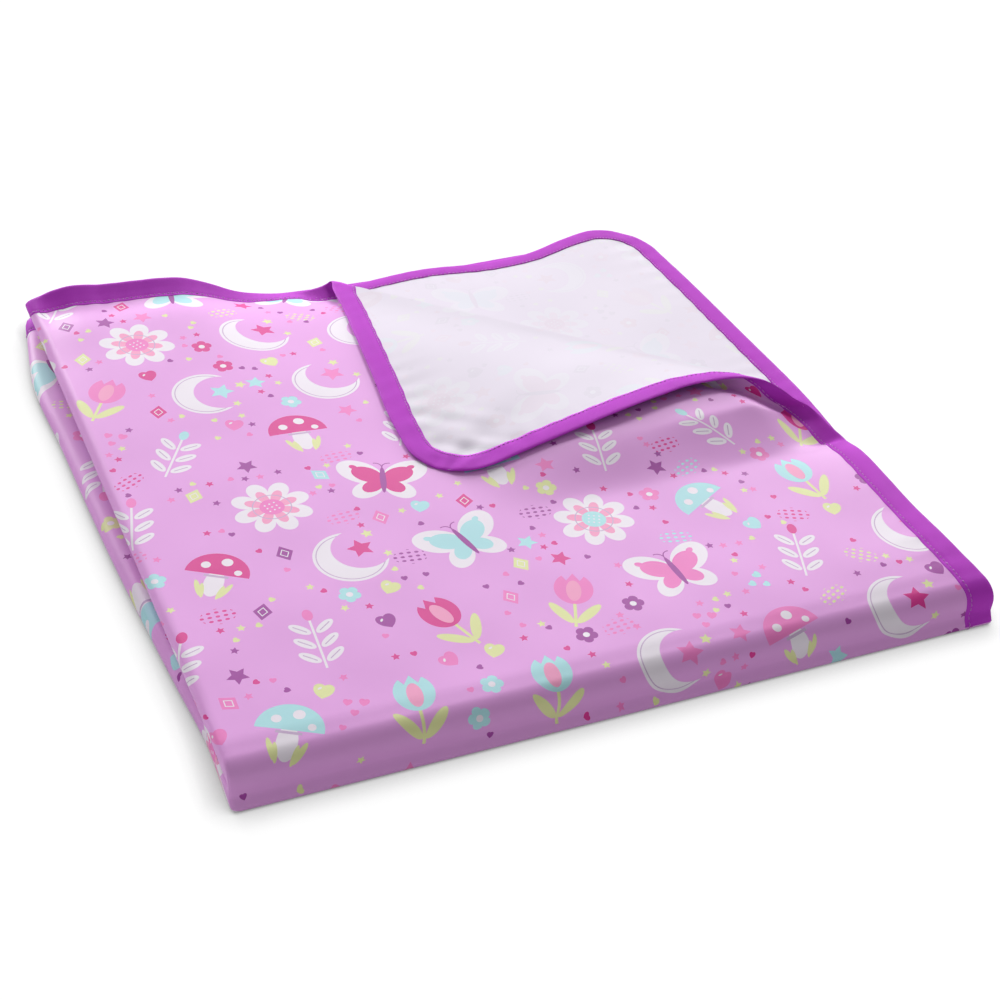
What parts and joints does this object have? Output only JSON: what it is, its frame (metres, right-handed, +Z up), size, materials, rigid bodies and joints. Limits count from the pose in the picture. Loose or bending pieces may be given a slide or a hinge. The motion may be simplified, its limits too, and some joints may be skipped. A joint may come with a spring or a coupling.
{
  "type": "folding waterproof changing mat",
  "caption": "Square waterproof changing mat with bound edges, folded in quarters with one corner of the top panel turned back.",
  "frame": {"origin": "centre of the folded mat's footprint, on the surface that it lies on", "axes": "+X from the side folds to the bound right edge, +Y from the front rolls to the bound back edge, +Z up"},
  "size_m": [0.5302, 0.539, 0.0371],
  "materials": {
    "printed_cloth": "satin woven polyester with a scattered small print",
    "waterproof_film": "white coated underside, soft sheen",
    "binding_tape": "woven satin tape, stitched"
  },
  "bodies": {
    "lower_half": {"bottom_panel_print": "printed_cloth", "bottom_panel_backing": "waterproof_film", "bottom_panel_binding": "binding_tape", "second_panel_print": "printed_cloth", "second_panel_backing": "waterproof_film", "second_panel_binding": "binding_tape", "lower_side_fold_print": "printed_cloth", "lower_side_fold_backing": "waterproof_film", "lower_side_fold_binding": "binding_tape", "lower_front_roll_print": "printed_cloth", "lower_front_roll_backing": "waterproof_film", "lower_front_roll_binding": "binding_tape", "lower_inner_roll_print": "printed_cloth", "lower_inner_roll_backing": "waterproof_film", "lower_inner_roll_binding": "binding_tape"},
    "upper_half": {"third_panel_print": "printed_cloth", "third_panel_backing": "waterproof_film", "third_panel_binding": "binding_tape", "top_panel_print": "printed_cloth", "top_panel_backing": "waterproof_film", "top_panel_binding": "binding_tape", "upper_side_fold_print": "printed_cloth", "upper_side_fold_backing": "waterproof_film", "upper_side_fold_binding": "binding_tape", "upper_front_roll_print": "printed_cloth", "upper_front_roll_backing": "waterproof_film", "upper_front_roll_binding": "binding_tape", "upper_inner_roll_print": "printed_cloth", "upper_inner_roll_backing": "waterproof_film", "upper_inner_roll_binding": "binding_tape", "panel_crease_print": "printed_cloth", "panel_crease_backing": "waterproof_film", "panel_crease_binding": "binding_tape"},
    "turned_corner": {"flap_crease_print": "printed_cloth", "flap_crease_backing": "waterproof_film", "flap_crease_binding": "binding_tape", "corner_flap_print": "printed_cloth", "corner_flap_backing": "waterproof_film", "corner_flap_binding": "binding_tape"}
  },
  "joints": [
    {"name": "half_fold", "type": "hinge", "parent": "lower_half", "child": "upper_half", "pos_m": [0, -0.26966, 0.015], "axis": [1, 0, 0], "range_deg": [0, 179.5]},
    {"name": "corner_fold", "type": "hinge", "parent": "upper_half", "child": "turned_corner", "pos_m": [-0.04423, 0.25913, 0.0331], "axis": [-0.7215, 0.6924, 0], "range_deg": [0, 179.5]}
  ]
}
